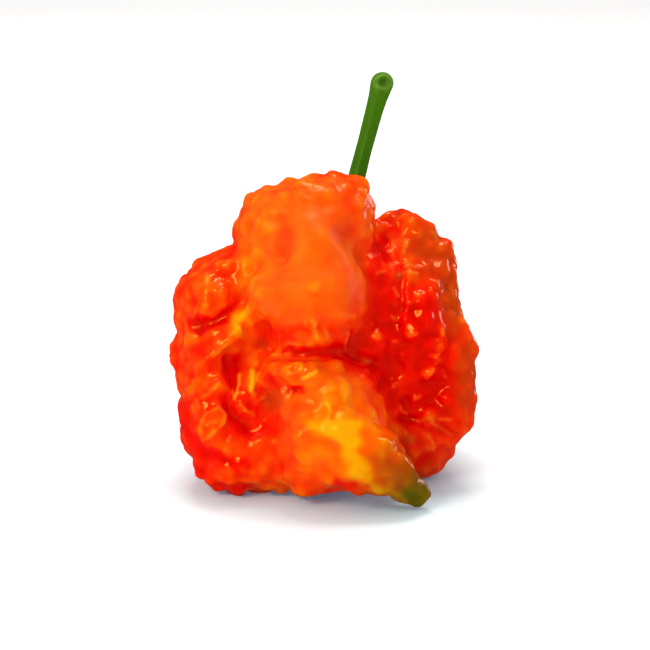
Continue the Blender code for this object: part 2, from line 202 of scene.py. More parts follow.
# The pod. A fold or chain starts with its rounds of smoothing. A lobe is ((right, up, towards the eye),
# half sizes, turn about Y in degrees), and a bead is (right, up, towards the eye, radius).
pod = {
    "foldVoxel": 0.5,
    "skinVoxel": 0.34,
    "jointSmoothing": 5,
    "skinSmoothing": (3, 1),
    "beadSpacing": 0.8,
    "footDepth": 0.25,
    "folds": {
        "hood": (34, (
            ((-2.8, 15.4, 5.6), (10.2, 7.6, 6.8), 0), ((-9.1, 14.1, 4), (4.8, 6.5, 6), 0),
            ((4.4, 14.6, 3), (3.7, 5.5, 6.6), 0), ((2.4, 19.3, 4.4), (5, 4.8, 4.3), 0),
            ((-2.4, 8.6, 9.4), (6.9, 7.6, 9), 0), ((-2.3, 4.5, 10.8), (8.9, 8.6, 6.8), 0),
            ((-1.8, -1.6, 10.6), (5.8, 6, 2.9), 0), ((-9.2, 2.6, 7.4), (4.2, 4.8, 4.2), 0))),
        "brow and belly": (26, (
            ((-0.8, -8.2, 11.6), (8.7, 7.4, 5.2), 12), ((0.6, -15.8, 10.4), (9, 9, 9), 0),
            ((-1.4, -20.8, 9.9), (6, 5.2, 4.8), 0), ((4.6, -18.4, 12.2), (6.6, 6.2, 5.8), 0))),
        "left side": (30, (
            ((-13.6, 6.2, 0.5), (6.5, 8.7, 5.6), 0), ((-11.6, 8, 4.8), (4.6, 5.2, 4.8), 0),
            ((-15.9, 2, 1.5), (6.7, 10, 8.4), 0), ((-16.4, -5.5, 1), (6.6, 9.5, 7), 0),
            ((-18.6, -1.2, 1), (4.2, 6, 3.4), 0), ((-17.8, -9.4, 1.5), (4.6, 6, 3.4), 0),
            ((-14.4, -13.8, 2.5), (7.6, 9.8, 11), 0), ((-9, -18.7, 3.8), (7.8, 8.3, 6.3), 0),
            ((-13.8, -19.9, 4.6), (6, 6.6, 5.6), 0))),
        "right side": (30, (
            ((12.2, -1.8, -3), (8.8, 12, 15.5), 0), ((11, 12.4, -3), (5.2, 7, 5.4), 0),
            ((8.8, 14, -1.5), (3.8, 4.6, 3.8), 0), ((13, -14.6, -2), (7.3, 8.8, 8.9), 0))),
        "back and core": (40, (
            ((0, -1.5, -2), (15.5, 13.5, 18), 0), ((3, -14.5, 3), (9.5, 9, 8.5), 0),
            ((-7.6, -10.6, 6.8), (4.2, 4.6, 5), 0), ((-9.4, -2.8, 5.2), (4, 4, 4), 0),
            ((-9, -1.5, -11), (10.5, 9.5, 15.5), 0), ((8, -2, -10.5), (10.5, 9.5, 16), 0),
            ((-0.5, 5, -13), (8, 7.5, 12.5), 0), ((0.5, -13, -14), (8, 7.5, 8), 0))),
        "back shoulders": (20, (
            ((-5.6, 13.6, -9.5), (6.2, 5.5, 6.4), 0), ((6.6, 10.6, -11), (5.6, 5.5, 6), 0))),
    },
    "chains": {
        "right rim": (10, ((8.6, 14.2, -1.0, 2.7), (12.4, 13.6, 0.0, 3.4), (16.2, 10.4, 1.0, 3.5),
                           (16.6, 6.2, 2.0, 3.0), (18.1, 1.4, 2.5, 3.3), (19.3, -3.4, 2.5, 3.6),
                           (19.3, -8.4, 2.5, 3.5), (18.6, -14.1, 2.5, 3.7), (15.5, -17.3, 2.0, 3.2))),
        "tail": (4, ((4.4, -18.6, 13.0, 6.0), (6.8, -20.2, 14.0, 4.9), (9.4, -21.9, 14.2, 3.7),
                     (12.0, -23.7, 13.4, 2.7), (13.6, -25.3, 12.7, 2.0))),
    },
    # creases and ridges of the front: half width, height (negative is a crease), points
    "lines": (
        (1.4, -1.2, ((-6.0, 14.6), (-5.9, 12.8), (-6.9, 10.4))),
        (0.9, -0.7, ((-6.9, 10.2), (-9.0, 8.5), (-11.3, 8.8))),
        (1.4, -0.8, ((2.2, 13.8), (3.4, 12.9), (4.6, 14.2))),
        (1.2, -0.4, ((3.6, 12.5), (5.0, 9.4), (5.6, 6.0))),
        (1.2, -1.7, ((-19.4, -0.2), (-16.5, 0.6), (-14.0, 1.8), (-12.2, 3.9))),
        (1.1, 1.2, ((-10.0, 6.0), (-11.7, 3.0), (-13.0, 0.4), (-14.6, -2.0), (-16.5, -4.0), (-17.8, -5.6))),
        (1.3, -2.0, ((-9.4, -0.8), (-9.0, -2.6), (-10.0, -4.1), (-12.2, -5.5))),
        (0.9, 1.1, ((-10.0, -4.8), (-11.0, -7.0), (-11.0, -10.2))),
        (1.2, -1.5, ((-14.7, -4.6), (-13.6, -9.2), (-14.4, -12.6), (-11.2, -15.6))),
        (0.8, -1.5, ((-7.6, -8.2), (-5.4, -10.2), (-3.8, -9.9))),
        (0.8, -1.2, ((-8.6, -4.2), (-5.2, -4.3), (-1.5, -3.9), (3.0, -4.0), (7.4, -5.8))),
        (0.8, -1.3, ((12.4, -13.9), (15.8, -14.8), (19.2, -16.8))),
        (0.6, -0.9, ((11.1, 15.4), (10.8, 14.0), (9.5, 12.5))),
        (0.6, -0.9, ((11.7, 8.9), (11.4, 5.5), (11.4, 2.4))),
    ),
    # blisters of the front: right, up, radius, height
    "blisters": (
        (-10.2, 14.4, 1.5, 0.5), (-9.5, 12, 1.3, 0.6), (-10.6, 10.4, 1.2, 0.6), (-3.3, 6.9, 1.6, 0.3),
        (5.1, 17.6, 0.9, 0.4), (6.2, 13.6, 1.2, 0.6), (3, 1.6, 1, 0.4), (-7.3, 2.2, 1, 0.4),
        (-2.6, 1, 1.5, 0.5), (-15.5, 9.2, 1, 0.6), (-16.8, 6.8, 1.2, 0.7), (-18.3, 5, 1, 0.6),
        (-17.9, 3.2, 1.2, 0.7), (-15, 5.2, 1.4, 0.5), (-20, -3, 1.4, 0.6), (-20.2, -6, 1.1, 0.6),
        (-17, -7, 1.3, 0.7), (-19.7, -9.4, 1.3, 0.7), (-17, -10.2, 1.2, 0.7), (-16.9, -13.2, 1.9, 0.6),
        (-13.3, -10.6, 1.1, 0.6), (-12.6, -12.8, 1.2, 0.7), (-19.4, -12, 1, 0.6), (-5.2, -6.5, 1.3, 0.5),
        (-3.2, -7.3, 1.3, 0.4), (0.8, -11.3, 1.3, 0.5), (-0.6, -13, 1, 0.5), (3, -10.6, 1.2, 0.4),
        (-3.8, -16.7, 1.3, 0.4), (-8, -17.3, 1.4, 0.6), (-3, -19.6, 1.4, 0.4), (7.8, -2.9, 1.6, 0.9),
        (10.2, -4.1, 1, 0.7), (13.2, -1.8, 1.2, 0.8), (11.9, 1, 1, 0.6), (14.3, 3.7, 1.1, 0.6),
        (10.5, 3.8, 1, 0.6), (9.4, 7.5, 1.2, 0.6), (17.2, -0.8, 1, 0.6), (16, -3, 1.2, 0.7),
        (16.2, -5.6, 1.2, 0.7), (17.2, -7.6, 1.2, 0.7), (10.5, -9.4, 1.4, 0.8), (6.8, -8, 1.5, 0.7),
        (13.5, -11.6, 1.2, 0.8), (11, -12.5, 1, 0.6), (15.6, -13.4, 1.2, 0.6), (11.7, -16.8, 1.5, 0.7)),
    "blisterFall": 1.2,
    "reliefFront": ((0.0, 0.35), (-5.0, -1.0)),
    # thin shiny crests and beads on the front: half width, height, and the lines and points that have them
    "crests": (
        (0.3, 0.25, ((11.4, -3.1),)), (0.3, 0.3, ((14.4, -4),)),
        (0.3, 0.35, (((-17.6, -15), (-17.1, -14.4), (-16.3, -14.4)),)),
        (0.35, 0.25, (((17.6, -6.8), (18.1, -7.8)),)),
        (0.35, 0.35, (((0, -0.6), (0.4, -1.8)), ((11.5, -4.3), (11.4, -5.2)), ((16.5, -4.8), (17.2, -4.3)))),
        (0.35, 0.4, (((3.4, -1.1), (3, -2.5), (2.9, -3.8)), (10.7, -8.7), ((11.2, -12.2), (11.4, -12.9),
                (12.2, -13.2)))),
        (0.35, 0.45, (((-5.5, -6.3), (-4.6, -6), (-3.4, -5.8), (-3.3, -6.3), (-4, -6.9), (-5, -7.3),
                (-5.4, -7.2)),)),
        (0.4, 0.25, ((-9, -14.2), ((-7.8, -4.6), (-6.6, -4.5), (-5, -4.3)), ((10.3, 5.5), (10.9, 4.3)),
                ((17.2, -14.1), (18.8, -14.2)))),
        (0.4, 0.3, (((-14.2, -1.5), (-13, -0.6)), ((-13.9, -9.9), (-13.5, -10.9)), ((-19.3, -11.2),
                (-18.9, -12.4)), ((-5.4, -2.7), (-3.8, -2.9), (-1.9, -2.7)), ((12.8, 7.8), (13.9, 7.6)),
                ((12.4, -1.8), (13.7, -1.3)), ((12, -16.2), (12.4, -16.9)), ((15.4, -16.6), (16.2, -17.7),
                (16.3, -18.8)), (16.6, -5.7))),
        (0.4, 0.35, (((-15.1, -3), (-14.4, -2.1)), ((-17.1, -4.6), (-15.8, -3.9)), ((-12.8, -7.6),
                (-12.8, -8.8), (-13, -9.9), (-13.5, -10.9)), ((-3, 0.6), (-2.5, -0.3)), ((7.8, 7.6),
                (9, 8.1)), (10, -8.1), ((16.3, -14.8), (17.4, -15.4), (18.4, -16.1)))),
        (0.4, 0.4, (((-12.6, -12), (-12, -12.6), (-11.4, -13.2), (-10.8, -13.5)), ((-10.3, -11.2),
                (-9, -10.8)), ((-3.3, -7.9), (-2.4, -7.5), (-1.3, -7)), ((0.4, -12), (0.8, -12.9),
                (0.6, -13.9)))),
        (0.4, 0.45, (((12, 9.4), (13, 8.7), (14.2, 8.4)), ((13.3, -11.2), (14.1, -10.7)))),
        (0.4, 0.5, (((-18.3, -16.6), (-18.6, -15.4), (-18.3, -14.1), (-17.7, -13.2), (-16.8, -12.8),
                (-15.8, -12.6), (-15.1, -13.5), (-15.4, -14.7), (-16.3, -15.9), (-17.4, -16.8),
                (-18.1, -17.2), (-18.3, -16.6)),)), (0.45, 0.25, (((10, 1.3), (10.7, 0.8)),)),
        (0.45, 0.3, (((-17.4, -7.8), (-16.2, -7.5)),)), (0.45, 0.35, (((4.2, 1.6), (4.3, 1.1)),)),
        (0.45, 0.4, (((-18.3, -10.9), (-17.6, -10.5), (-16.9, -9.8), (-16.1, -8.8)), ((10.3, -2.4),
                (10.8, -2.5)))),
        (0.45, 0.45, (((-10.8, -6.9), (-10.8, -8.2), (-10.9, -9.3), (-11.2, -10)), ((-1.5, 0.4),
                (-1.6, -0.9), (-1.2, -1.9)))), (0.45, 0.5, (((17.4, -0.6), (17.6, -1.5)),)),
        (0.5, 0.2, (((0.1, -10), (1.3, -9.4)),)),
        (0.5, 0.25, ((-6.9, 1.5), ((3, -10.5), (2.9, -11.2)), (11.1, 7.5), ((16.1, 13.9), (16.8, 12.8)))),
        (0.5, 0.3, ((-16.2, 9), (15.8, 5.2))),
        (0.5, 0.35, (((-14.4, 9.4), (-14.5, 8.7)), ((-19.9, -8.4), (-19.6, -9.8)), (-7.6, -17.4),
                (16.5, 6.6), ((12.2, 12.4), (11.8, 10.9)), (6.9, 0.1))),
        (0.5, 0.4, (((10.3, 12.4), (10.2, 11.2), (9.9, 10)), (18.6, -16.3), (16.8, -2.2), (17.4, -3))),
        (0.5, 0.45, ((10.2, -9.2), ((14.2, -14.4), (15.6, -13.7), (16.1, -14.5)), ((15.3, -7.8),
                (16.2, -6.6)))), (0.6, 0.25, ((-15.4, 5.1), (-1.2, -13.5))),
        (0.6, 0.3, (((-17.8, 5.1), (-17.8, 4.2)),)), (0.6, 0.35, ((-17.7, 3), (12.9, -17.2))),
        (0.6, 0.4, (((-17.4, 7.2), (-17.6, 6.3)),)), (0.7, 0.25, ((-6.3, -22.5),)),
        (0.7, 0.3, ((13, 3.3), ((19.1, 5.8), (19.5, 4.3)))),
        (0.7, 0.35, ((10, 8.7), ((20.2, 1.9), (20.7, 0.4)), ((21.8, -1.9), (22.1, -3.8)))),
        (0.7, 0.4, ((13.9, 4.6),)), (0.8, 0.25, (((-20.7, -1.8), (-19.6, -1.6)),)),
        (0.8, 0.35, ((6.1, -5.5), (6.1, -7.2), (6.6, -8.8))), (0.8, 0.45, ((7.6, -1.5),))),
    "crestRise": 0.8,
    "crestFront": ((0.0, 0.3), (-6.0, -3.0)),
    "crestReach": 3,
    # lumps all over, weaker on the hood and in the creases
    "lumps": {"pitch": 0.30, "middle": 0.45, "height": 1.5, "bendPitch": 0.12, "bendReach": 2.4,
              "bendOffsets": ((0, 0, 0), (31, 7, 0), (3, 57, 11)), "wavePitch": 0.14, "waveHeight": 0.8,
              "hoodCalm": 0.85, "creaseCalm": 0.6},
    # the hood's middle, half sizes and depth; the creases' greatest share and reach in half widths
    "hoodArea": ((-2.3, 9.5), (9.0, 11.0), (4, 8)),
    "creaseArea": (0.95, 1.6),
    "creaseDepth": (-4, 0),
    "calyxSeat": {"radius": 5.7, "edge": 2.3, "droop": 0.03, "depth": 12},
    # where two folds have grown together without a crease: right, up, reach
    "softened": (
        (-8.6, -10.4, 1.8), (-7.4, -13, 2), (-6.6, -16, 2.2), (-6, -19, 2.2), (-5, -22, 2),
        (-10.5, -3.5, 2.4), (-9, -6.5, 2), (-3, -2.8, 1.2)),
    "softening": {"rounds": 24, "strength": 0.6, "edge": (0.6, 1.5), "depth": (2.0, 4.0)},
    # where the fine relief is weaker: on the hood, on the belly, in patches behind, low down, by the stem
    "fine": {"hoodCalm": 0.8, "bellyCalm": 0.85, "belly": ((-0.5, -15.5), (9.5, 9.0), (0.8, 1.2)),
             "bellyDepth": (6, 9), "patchPitch": 0.13, "patchEdge": (-0.25, 0.25), "patchCalm": (0.80, 0.55),
             "patchDepth": (-6, 2), "foot": (0.3, 1.5), "byStem": (5, 7)},
    # the fine relief itself, in metres and cells to a metre
    "fineRelief": {"Pimple Pitch": 440.0, "Pimple Height": 0.00052, "Warp": 0.0016,
                   "Wrinkle Pitch": 900.0, "Wrinkle Height": 0.00022},
}

stem = {
    "line": ((2.9, 15.8, -5.6), (5.2, 23.2, -5.3), (7.0, 31.5, -4.8), (9.1, 37.6, -3.6)),
    # outlines from the axis outwards and up: radius, height
    "underside": ((0.0, -0.45), (1.2, -0.45), (2.5, -0.45), (3.8, -0.45), (4.85, -0.42)),
    "calyx": ((5.2, 0.2), (5.02, 0.6), (4.1, 1.1), (3.1, 1.5), (2.65, 1.72), (2.4, 1.75)),
    "sides": ((2.4, 2.15), (2.1, 2.4), (1.75, 2.75), (1.45, 3.4), (1.32, 4.8), (1.27, 6.6), (1.24, 9.0),
              (1.22, 12.0), (1.25, 14.4), (1.33, 16.6), (1.46, 18.6), (1.62, 20.2), (1.76, 21.2),
              (1.66, 22.0), (1.25, 22.7), (0.65, 23.1)),
    "end": 23.2,
    "straightShare": 0.1,
    "directionStep": 0.01,
    "segments": 60,
    "points": 5,
    "pointShare": 0.07,
    "calyxRing": (2.2, 4.6),
    "ribShare": 0.05,
    "ribTurn": 0.4,
    "ribStart": (2.0, 6.0),
    "gap": 0.3,
    "scar": {"depth": 0.55, "reach": (1.05, 0.70), "share": 0.935, "out": 1.7,
             "lip": (1.45, 0.4), "floor": (1.2, 0.9), "strength": 0.8},
    "fineShare": 0.25,
    "fineStart": (0.05, 0.2),
    "fineRelief": {"Pimple Pitch": 420.0, "Pimple Height": 0.0002, "Warp": 0.001,
                   "Wrinkle Pitch": 600.0, "Wrinkle Height": 0.0004},
    # looks: greens from foot to tip, and the shader's own values
    "scales": {"Mottle Scale": 420.0, "Grain Scale": 2200.0, "Stretch": 0.10},
    "greens": ((0.028, 0.170, 0.001), (0.045, 0.180, 0.001)),
    "paling": {"between": (0.1, 1.0), "least": 0.1, "more": 0.8},
    # the cut end's paler lip is partly its own colour and partly a painted highlight, and the darker green in
    # its floor is painted shade
    "scarLipAndHighlightColour": (0.13, 0.30, 0.03),
    "scarFloorShadeColour": (0.035, 0.11, 0.002),
    "mottling": 0.9,
    "roughness": (0.32, 0.25),
    "bump": (0.5, 0.0002),
    "shader": {"Specular IOR Level": 0.3, "Specular Tint": (0.7, 1.0, 0.25), "Subsurface Weight": 0.1,
               "Subsurface Radius": (0.4, 1.0, 0.2), "Subsurface Scale": 0.0008},
}


def addBall(bm, centre, halves, turn=0.0, detail=4):
    matrix = (Matrix.Translation(centre) @ Euler((0, math.radians(turn), 0)).to_matrix().to_4x4()
              @ Matrix.Diagonal((*halves, 1)))
    bmesh.ops.create_icosphere(bm, subdivisions=detail, radius=1, matrix=matrix)


def fusedFolds():
    together = bmesh.new()
    for smoothing, lobes in pod["folds"].values():
        bm = bmesh.new()
        for middle, halves, turn in lobes:
            addBall(bm, seenAt(*middle), halves, turn)
        together.from_mesh(remeshed(asMesh(bm), pod["foldVoxel"], smoothing))
    for smoothing, beads in pod["chains"].values():
        bm = bmesh.new()
        for start, end in zip(beads[:-1], beads[1:]):
            a, b = seenAt(*start[:3]), seenAt(*end[:3])
            steps = max(1, round((b - a).length / pod["beadSpacing"]))
            for step in range(steps + 1):
                share = step / steps
                addBall(bm, a.lerp(b, share), (start[3] + (end[3] - start[3]) * share,) * 3, detail=3)
        together.from_mesh(remeshed(asMesh(bm), pod["foldVoxel"], smoothing))
    return remeshed(asMesh(together), pod["foldVoxel"], pod["jointSmoothing"])


def hoodShare(across, upBy, nearer):
    (right, up), (halfAcross, halfUp), depth = pod["hoodArea"]
    return (np.exp(-((across - right) / halfAcross) ** 4 - ((upBy - up) / halfUp) ** 4)
            * smoothStep(*depth, nearer))


def creaseShare(across, upBy):
    (most, reach), share = pod["creaseArea"], np.zeros(len(across))
    for halfWidth, rise, line in pod["lines"]:
        if rise < 0:
            away = lineDistance(across, upBy, line) / (reach * halfWidth)
            share = np.maximum(share, most * np.exp(-away ** 2))
    return share


def frontRelief(places, facing):
    across, upBy, nearer = asSeen(places)
    height = np.zeros(len(places))
    for halfWidth, rise, line in pod["lines"]:
        height += rise * np.exp(-(lineDistance(across, upBy, line) / halfWidth) ** 2)
    for right, up, radius, rise in pod["blisters"]:
        height += rise * np.exp(-pod["blisterFall"] * (np.hypot(across - right, upBy - up) / radius) ** 2)
    facingLimits, depthLimits = pod["reliefFront"]
    return height * smoothStep(*facingLimits, facing) * smoothStep(*depthLimits, nearer)


def skinRelief(places):
    lumps = pod["lumps"]
    bends = zip(*(noiseOver(places, lumps["bendPitch"], offset) for offset in lumps["bendOffsets"]))
    spots = (Vector(place) + Vector(bend) * lumps["bendReach"] for place, bend in zip(places, bends))
    cells = np.array([noise.voronoi(spot * lumps["pitch"])[0][0] for spot in spots])
    heights = ((lumps["middle"] - cells) * lumps["height"]
               + noiseOver(places, lumps["wavePitch"]) * lumps["waveHeight"])
    across, upBy, nearer = asSeen(places)
    hood = lumps["hoodCalm"] * hoodShare(across, upBy, nearer)
    creases = lumps["creaseCalm"] * creaseShare(across, upBy) * smoothStep(*pod["creaseDepth"], nearer)
    return (1.0 - np.maximum(hood, creases)) * heights


def raiseCrests(mesh):
    places, outward = placesOf(mesh), outwardOf(mesh)
    across, upBy, nearer = asSeen(places)
    reach = pod["crestReach"]
    away, height = np.full(len(places), float(reach)), np.zeros(len(places))
    for halfWidth, rise, lines in pod["crests"]:
        for line in lines:
            share = lineDistance(across, upBy, line) / halfWidth
            away = np.minimum(away, share)
            height = np.maximum(height, pod["crestRise"] * rise * np.exp(-share ** 2))
    seen = frontShare(outward @ np.array(eyeAxes()[2]), nearer, pod["crestFront"])
    setPlaces(mesh, places + outward * (height * seen)[:, None])
    setAttributes(mesh, crestAway=reach - (reach - away) * seen)


def soften(mesh):
    softening, places = pod["softening"], placesOf(mesh)
    across, upBy, nearer = asSeen(places)
    share = np.zeros(len(places))
    for right, up, reach in pod["softened"]:
        inner, outer = (part * reach for part in softening["edge"])
        share = np.maximum(share, 1 - smoothStep(inner, outer, np.hypot(across - right, upBy - up)))
    share *= softening["strength"] * smoothStep(*softening["depth"], nearer)
    ends = np.empty(len(mesh.edges) * 2, dtype=np.int32)
    mesh.edges.foreach_get("vertices", ends)
    count = np.bincount(ends, minlength=len(places))
    starts, stops = ends.reshape(-1, 2).T
    for _ in range(softening["rounds"]):
        for axis in range(3):
            line = places[:, axis]
            near = np.bincount(starts, line[stops], len(line)) + np.bincount(stops, line[starts], len(line))
            places[:, axis] = line + (near / count - line) * share
    setPlaces(mesh, places)


def stemPlace(share):
    points = [seenAt(*point) for point in stem["line"]]
    while len(points) > 1:
        points = [start.lerp(end, share) for start, end in zip(points[:-1], points[1:])]
    return points[0]


def stemDirection(share):
    step = stem["directionStep"]
    return (stemPlace(share + step) - stemPlace(share - step)).normalized()


# a shallow dish under the calyx, across the stem's direction
def seatCalyx(mesh):
    seat = pod["calyxSeat"]
    places = placesOf(mesh)
    foot, along = np.array(stemPlace(0)), np.array(stemDirection(0))
    offset = places - foot
    height = offset @ along
    radius = np.linalg.norm(offset - height[:, None] * along, axis=1)
    share = 1 - smoothStep(seat["radius"], seat["radius"] + seat["edge"], radius)
    share[height < -seat["depth"]] = 0
    setPlaces(mesh, places + along * ((-seat["droop"] * radius ** 2 - height) * share)[:, None])


# Geometry Nodes: pimples and wrinkles that repeat over a surface, strongest where its attribute says
reliefShape = {"warpScale": 300.0, "warpDetail": 1.0, "cellMiddle": 0.42, "cellSoftness": 0.35,
               "wrinkleDetail": 2.0, "wrinkleBend": 0.6}


def reliefTree():
    tree = bpy.data.node_groups.new("repeatedRelief", "GeometryNodeTree")
    face, sizes = tree.interface, ("Pimple Pitch", "Pimple Height", "Warp", "Wrinkle Pitch", "Wrinkle Height")
    face.new_socket("Geometry", in_out="INPUT", socket_type="NodeSocketGeometry")
    for name in sizes:
        face.new_socket(name, in_out="INPUT", socket_type="NodeSocketFloat")
    face.new_socket("Material", in_out="INPUT", socket_type="NodeSocketMaterial")
    face.new_socket("Geometry", in_out="OUTPUT", socket_type="NodeSocketGeometry")
    given = addNode(tree, "NodeGroupInput").outputs
    place = addNode(tree, "GeometryNodeInputPosition").outputs[0]
    outward = addNode(tree, "GeometryNodeInputNormal").outputs[0]
    relief = addNode(tree, "GeometryNodeInputNamedAttribute", {"Name": "relief"}, data_type="FLOAT")
    amount = relief.outputs["Attribute"]

    def vectorMath(operation, a, b):
        inputs = {0: a, ("Scale" if operation == "SCALE" else 1): b}
        return addNode(tree, "ShaderNodeVectorMath", inputs, operation=operation).outputs[0]

    shape = reliefShape
    warp = addNode(tree, "ShaderNodeTexNoise", {
        "Vector": place, "Scale": shape["warpScale"], "Detail": shape["warpDetail"]}).outputs["Color"]
    warp = vectorMath("SCALE", vectorMath("SUBTRACT", warp, (noiseMiddle,) * 3), given["Warp"])
    cells = addNode(tree, "ShaderNodeTexVoronoi", {
        "Vector": vectorMath("ADD", place, warp), "Scale": given["Pimple Pitch"],
        "Smoothness": shape["cellSoftness"]}, feature="SMOOTH_F1")
    bump = mathNode(tree, "SUBTRACT", shape["cellMiddle"], cells.outputs["Distance"])
    pimple = mathNode(tree, "MULTIPLY", bump, given["Pimple Height"])
    folds = addNode(tree, "ShaderNodeTexNoise", {
        "Vector": place, "Scale": given["Wrinkle Pitch"], "Detail": shape["wrinkleDetail"],
        "Distortion": shape["wrinkleBend"]})
    wrinkle = spreadNode(tree, folds.outputs["Fac"], noiseMiddle, given["Wrinkle Height"])
    height = mathNode(tree, "MULTIPLY", mathNode(tree, "ADD", pimple, wrinkle), amount)
    # the pimples' own height is kept for the paint
    keep = addNode(tree, "GeometryNodeStoreNamedAttribute", {
        "Geometry": given["Geometry"], "Name": "pimple", "Value": mathNode(tree, "MULTIPLY", bump, amount)},
        data_type="FLOAT", domain="POINT")
    offset = vectorMath("SCALE", outward, height)
    shift = addNode(tree, "GeometryNodeSetPosition", {"Geometry": keep.outputs[0], "Offset": offset})
    real = addNode(tree, "GeometryNodeRealizeInstances", {0: shift.outputs[0]})
    inputs = {"Geometry": real.outputs[0], "Material": given["Material"]}
    addNode(tree, "NodeGroupOutput", {0: addNode(tree, "GeometryNodeSetMaterial", inputs).outputs[0]})
    return tree


def withRelief(mesh, tree, values):
    obj = linked("working", mesh)
    modifier = obj.modifiers.new("relief", "NODES")
    modifier.node_group = tree
    for item in tree.interface.items_tree:
        if item.item_type == "SOCKET" and item.in_out == "INPUT" and item.name in values:
            modifier[item.identifier] = values[item.name]
    return plainMesh(obj)


